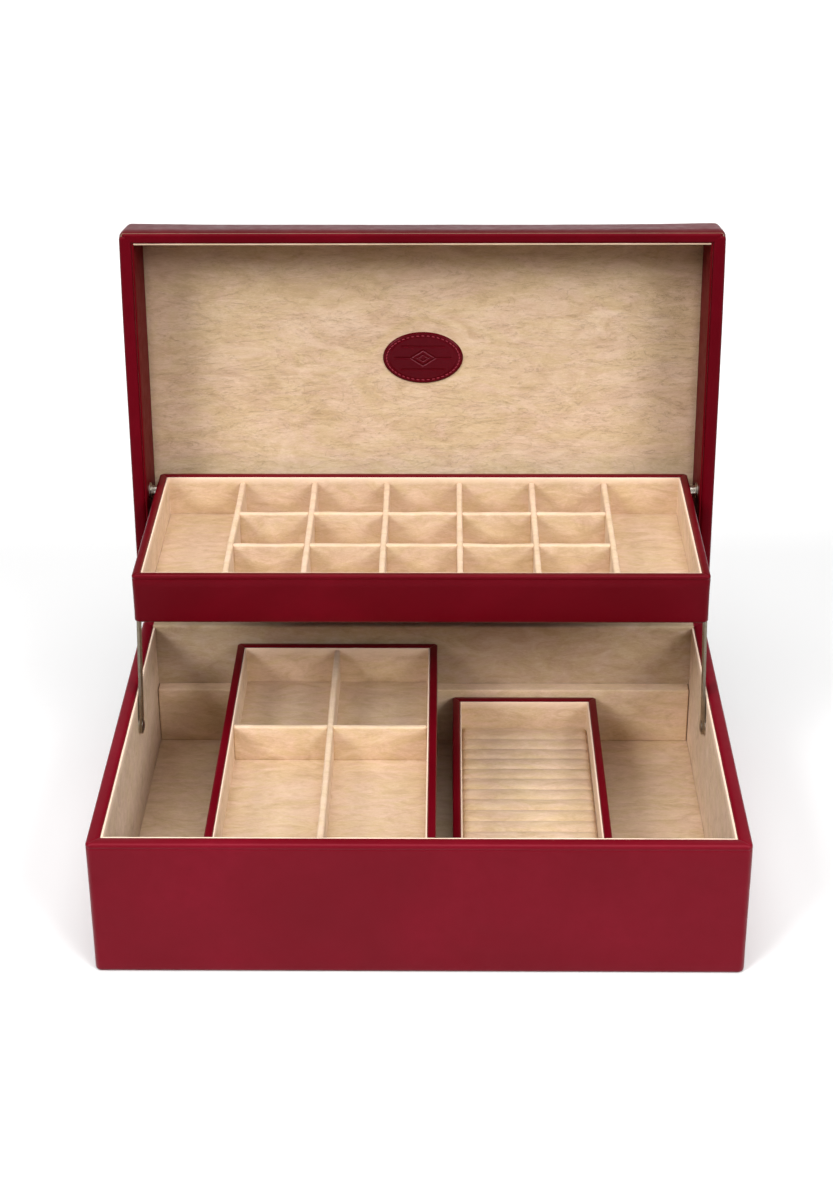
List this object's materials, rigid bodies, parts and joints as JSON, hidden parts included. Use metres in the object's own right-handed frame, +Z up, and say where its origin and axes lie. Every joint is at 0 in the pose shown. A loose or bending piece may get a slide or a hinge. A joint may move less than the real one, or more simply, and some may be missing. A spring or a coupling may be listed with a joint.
{
  "type": "jewellery case",
  "caption": "Leather-covered jewellery case, lid open, with a suede-lined compartment tray that rises and swings with the lid, a sliding tray on ledges and a loose ring tray.",
  "frame": {"origin": "centre of the base's underside, on the surface that the case stands on", "axes": "+X to the right along the front, +Y to the back where the hinges are, +Z up; the rest pose has the lid open"},
  "size_m": [0.337, 0.2964, 0.3117],
  "materials": {
    "leather": "smooth semi-gloss grain",
    "badge_leather": "glossy, embossed",
    "thread": "waxed thread",
    "suede": "brushed suede",
    "suede_edge": "brushed suede, pale folded edge",
    "board": "raw fibreboard",
    "foam": "soft foam",
    "felt": "felt",
    "nickel": "worn nickel plate",
    "brass": "satin brass"
  },
  "bodies": {
    "base": {"base_front_board": "board", "base_back_board": "board", "base_left_board": "board", "base_right_board": "board", "base_bottom_board": "board", "base_leather": "leather", "base_underlay": "felt", "base_floor_suede": "suede", "base_front_lining": "suede", "base_back_lining": "suede", "base_left_lining": "suede", "base_right_lining": "suede", "front_ledge": "suede", "back_ledge": "suede", "base_hinge_leaves": "brass", "hinge_pins": "brass", "base_hinge_screws": "brass", "arm_pivot_rivets": "nickel", "arm_washers": "nickel"},
    "lid": {"lid_front_board": "board", "lid_back_board": "board", "lid_left_board": "board", "lid_right_board": "board", "lid_top_board": "board", "lid_padding": "foam", "lid_leather": "leather", "lid_suede_panel": "suede", "lid_end_linings": "suede_edge", "badge": "badge_leather", "badge_stitching": "thread", "lid_hinge_leaves": "brass", "lid_hinge_screws": "brass", "tray_hanger_pins": "nickel"},
    "left_arm": {"left_arm": "nickel"},
    "right_arm": {"right_arm": "nickel"},
    "lift_tray": {"lift_tray_front_board": "board", "lift_tray_back_board": "board", "lift_tray_left_board": "board", "lift_tray_right_board": "board", "lift_tray_floor": "board", "lift_tray_leather": "leather", "lift_tray_lining": "suede_edge", "lift_tray_floor_suede": "suede", "lift_tray_long_dividers": "suede", "lift_tray_cross_dividers": "suede", "lift_tray_front_pins": "nickel"},
    "slide_tray": {"slide_tray_end_boards": "board", "slide_tray_side_boards": "board", "slide_tray_floor": "board", "slide_tray_leather": "leather", "slide_tray_lining": "suede", "slide_tray_dividers": "suede"},
    "ring_tray": {"ring_tray_end_boards": "board", "ring_tray_side_boards": "board", "ring_tray_floor": "board", "ring_tray_leather": "leather", "ring_tray_lining": "suede", "ring_roll_pad": "suede"}
  },
  "joints": [
    {"name": "lid_hinge", "type": "hinge", "parent": "base", "child": "lid", "pos_m": [0, 0.1191, 0.0785], "axis": [1, 0, 0], "range_deg": [0, 94.4]},
    {"name": "lift_tray_hanger", "type": "hinge", "parent": "lid", "child": "lift_tray", "pos_m": [0, 0.1391, 0.1525], "axis": [1, 0, 0], "range_deg": [-94.4, 0]},
    {"name": "left_arm_pivot", "type": "hinge", "parent": "base", "child": "left_arm", "pos_m": [-0.1565, 0.026, 0.0603], "axis": [1, 0, 0], "range_deg": [0, 94.4]},
    {"name": "right_arm_pivot", "type": "hinge", "parent": "base", "child": "right_arm", "pos_m": [0.1565, 0.026, 0.0603], "axis": [1, 0, 0], "range_deg": [0, 94.4]},
    {"name": "slide_tray_slide", "type": "slide", "parent": "base", "child": "slide_tray", "axis": [1, 0, 0], "range_m": [-0.044, 0.145]},
    {"name": "ring_tray_slide", "type": "slide", "parent": "base", "child": "ring_tray", "axis": [1, 0, 0], "range_m": [-0.174, 0.054]}
  ],
  "couplings": [
    {"joint": "lift_tray_hanger", "follows": "lid_hinge", "ratio": -1},
    {"joint": "left_arm_pivot", "follows": "lid_hinge", "ratio": 1},
    {"joint": "right_arm_pivot", "follows": "lid_hinge", "ratio": 1}
  ]
}
